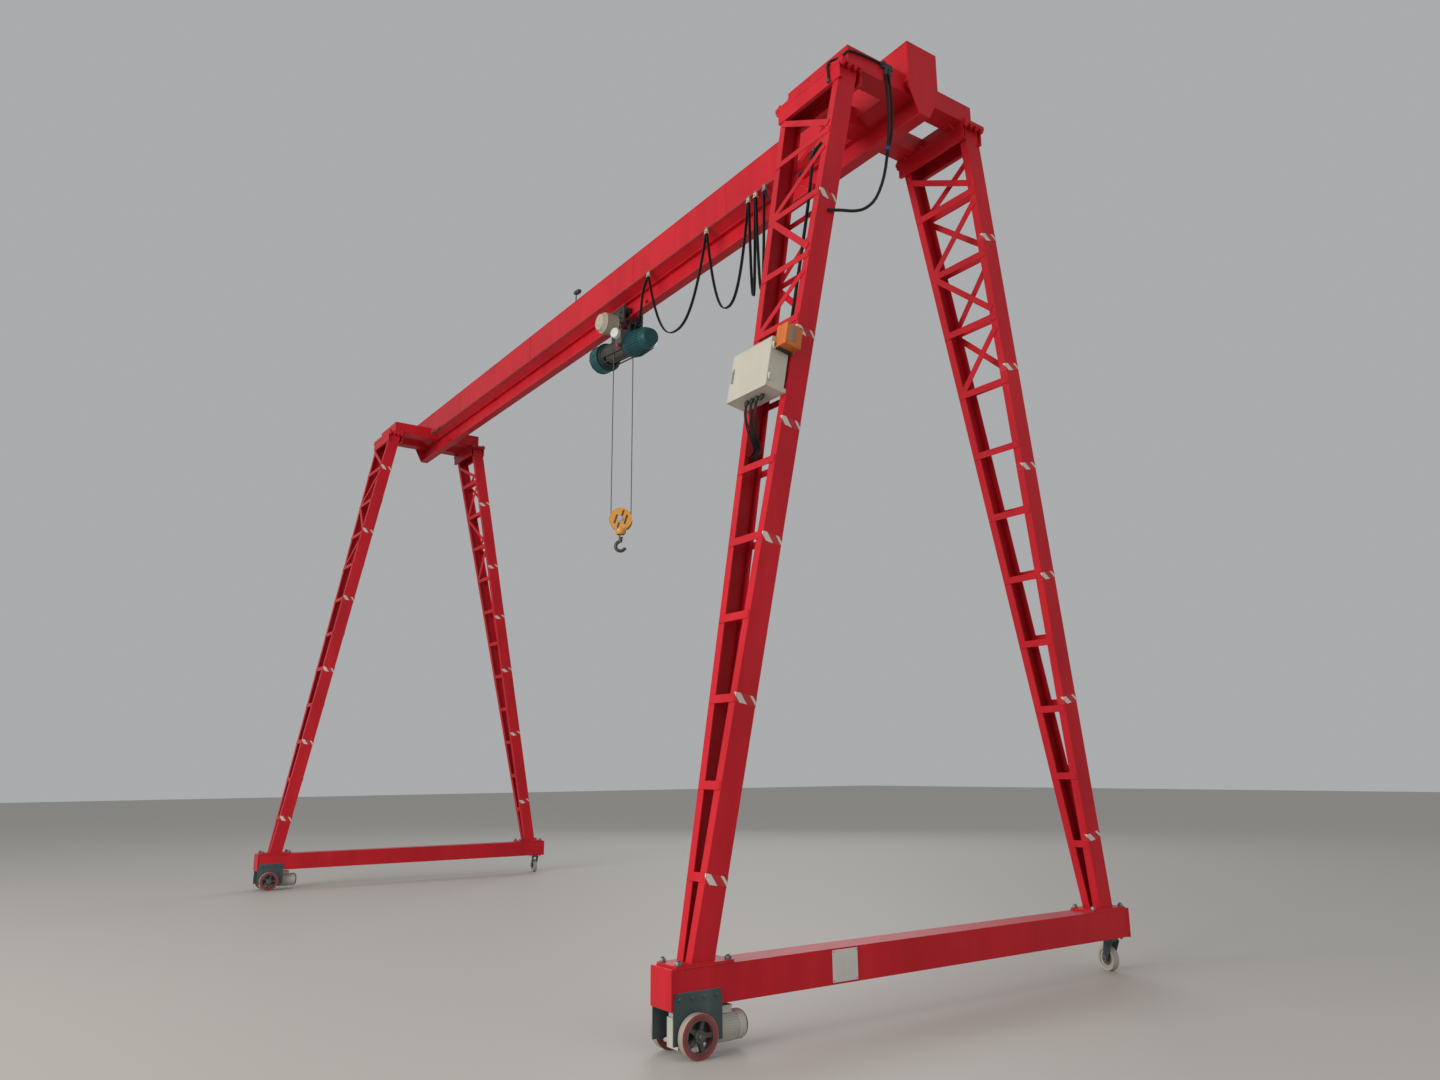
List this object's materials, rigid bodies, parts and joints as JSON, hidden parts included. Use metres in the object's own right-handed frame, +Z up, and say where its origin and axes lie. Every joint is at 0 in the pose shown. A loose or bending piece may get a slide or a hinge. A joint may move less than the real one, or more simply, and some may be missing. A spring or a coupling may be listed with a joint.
{
  "type": "gantry crane",
  "caption": "Motor-driven gantry crane: box girder over an I-beam rail on lattice legs, with an electric wire-rope hoist, trailing flat cable, driven wheels and casters.",
  "frame": {"origin": "on the floor under the middle of the girder", "axes": "+X along the girder towards the frame that carries the cabinet, +Y along the travel towards the casters, +Z up"},
  "size_m": [10.8, 4.08, 6.825],
  "materials": {
    "red_paint": "gloss enamel, a little dusty",
    "slate_paint": "dull paint",
    "grey_casting": "satin paint",
    "wheel_rubber": "worn solid tyre",
    "cream_nylon": "satin moulded",
    "cabinet_paint": "fine texture paint",
    "orange_plastic": "satin moulded",
    "galvanised_steel": "dull zinc",
    "cable_rubber": "matt sheath",
    "trolley_paint": "dark greasy paint",
    "cream_paint": "satin paint",
    "drum_paint": "satin paint",
    "teal_paint": "satin paint",
    "wire_rope": "greased strands",
    "yellow_paint": "gloss paint, worn",
    "hook_steel": "forged, blackened"
  },
  "bodies": {
    "frame": {"girder_box": "red_paint", "girder_rail": "red_paint", "girder_ends": "red_paint", "near_head_frame": "red_paint", "far_head_frame": "red_paint", "near_drive_leg": "red_paint", "near_caster_leg": "red_paint", "far_drive_leg": "red_paint", "far_caster_leg": "red_paint", "near_drive_leg_lattice": "red_paint", "near_caster_leg_lattice": "red_paint", "far_drive_leg_lattice": "red_paint", "far_caster_leg_lattice": "red_paint", "near_ground_beam": "red_paint", "far_ground_beam": "red_paint", "drive_brackets": "slate_paint", "gear_motors": "grey_casting", "caster_plates": "slate_paint", "cabinet_body": "cabinet_paint", "radio_receiver": "orange_plastic", "cable_wire": "galvanised_steel", "wire_brackets": "galvanised_steel", "leg_cable": "cable_rubber", "head_cable": "cable_rubber"},
    "near_drive": {"near_drive_wheels": "wheel_rubber"},
    "far_drive": {"far_drive_wheels": "wheel_rubber"},
    "near_swivel": {"near_caster_fork": "slate_paint"},
    "far_swivel": {"far_caster_fork": "slate_paint"},
    "near_roller": {"near_caster_wheel": "cream_nylon"},
    "far_roller": {"far_caster_wheel": "cream_nylon"},
    "door": {"cabinet_door": "cabinet_paint"},
    "hanger_d": {"hanger_4": "galvanised_steel", "cable_loop_4": "cable_rubber"},
    "hanger_c": {"hanger_3": "galvanised_steel", "cable_loop_3": "cable_rubber"},
    "hanger_b": {"hanger_2": "galvanised_steel", "cable_loop_2": "cable_rubber"},
    "hanger_a": {"hanger_1": "galvanised_steel", "cable_loop_1": "cable_rubber"},
    "trolley": {"trolley_frame": "trolley_paint", "trolley_wheels": "trolley_paint", "travel_motor": "cream_paint", "drum_casing": "drum_paint", "hoist_motor": "teal_paint", "hoist_gearbox": "teal_paint", "rope_falls": "wire_rope", "hoist_lead": "cable_rubber"},
    "block": {"hook_block": "yellow_paint"},
    "hook": {"hook": "hook_steel"}
  },
  "joints": [
    {"name": "trolley_travel", "type": "slide", "parent": "frame", "child": "trolley", "axis": [1, 0, 0], "range_m": [-4.9, 0.25]},
    {"name": "hook_lift", "type": "slide", "parent": "trolley", "child": "block", "axis": [0, 0, 1], "range_m": [-3.4, 1.45], "deforming": ["rope_falls"]},
    {"name": "hook_swivel", "type": "hinge", "parent": "block", "child": "hook", "pos_m": [0.9, 0, 3.9], "axis": [0, 0, 1], "continuous": true},
    {"name": "near_drive_roll", "type": "hinge", "parent": "frame", "child": "near_drive", "pos_m": [5, -1.89, 0.115], "axis": [1, 0, 0], "continuous": true},
    {"name": "far_drive_roll", "type": "hinge", "parent": "frame", "child": "far_drive", "pos_m": [-5, -1.89, 0.115], "axis": [1, 0, 0], "continuous": true},
    {"name": "near_caster_turn", "type": "hinge", "parent": "frame", "child": "near_swivel", "pos_m": [5, 1.945, 0.22], "axis": [0, 0, 1], "continuous": true},
    {"name": "far_caster_turn", "type": "hinge", "parent": "frame", "child": "far_swivel", "pos_m": [-5, 1.945, 0.22], "axis": [0, 0, 1], "continuous": true},
    {"name": "near_caster_roll", "type": "hinge", "parent": "near_swivel", "child": "near_roller", "pos_m": [4.95148, 1.9571, 0.088], "axis": [-0.2419, -0.9703, 0], "continuous": true},
    {"name": "far_caster_roll", "type": "hinge", "parent": "far_swivel", "child": "far_roller", "pos_m": [-5.04951, 1.95196, 0.088], "axis": [-0.1392, -0.9903, 0], "continuous": true},
    {"name": "cabinet_door_hinge", "type": "hinge", "parent": "frame", "child": "door", "pos_m": [5.223, -1.37332, 4.03174], "axis": [0, 0.185, 0.9827], "range_deg": [0, 100]},
    {"name": "hanger_4_slide", "type": "slide", "parent": "frame", "child": "hanger_d", "axis": [1, 0, 0], "range_m": [-1.7, 0.09], "deforming": ["cable_loop_4"]},
    {"name": "hanger_3_slide", "type": "slide", "parent": "hanger_d", "child": "hanger_c", "axis": [1, 0, 0], "range_m": [-1.2, 0.06], "deforming": ["cable_loop_3"]},
    {"name": "hanger_2_slide", "type": "slide", "parent": "hanger_c", "child": "hanger_b", "axis": [1, 0, 0], "range_m": [-1.4, 0.07], "deforming": ["cable_loop_2"]},
    {"name": "hanger_1_slide", "type": "slide", "parent": "hanger_b", "child": "hanger_a", "axis": [1, 0, 0], "range_m": [-1.05, 0.05], "deforming": ["cable_loop_1"]}
  ],
  "couplings": [
    {"joint": "hanger_4_slide", "follows": "trolley_travel", "ratio": 0.33},
    {"joint": "hanger_3_slide", "follows": "trolley_travel", "ratio": 0.22},
    {"joint": "hanger_2_slide", "follows": "trolley_travel", "ratio": 0.26},
    {"joint": "hanger_1_slide", "follows": "trolley_travel", "ratio": 0.19}
  ]
}
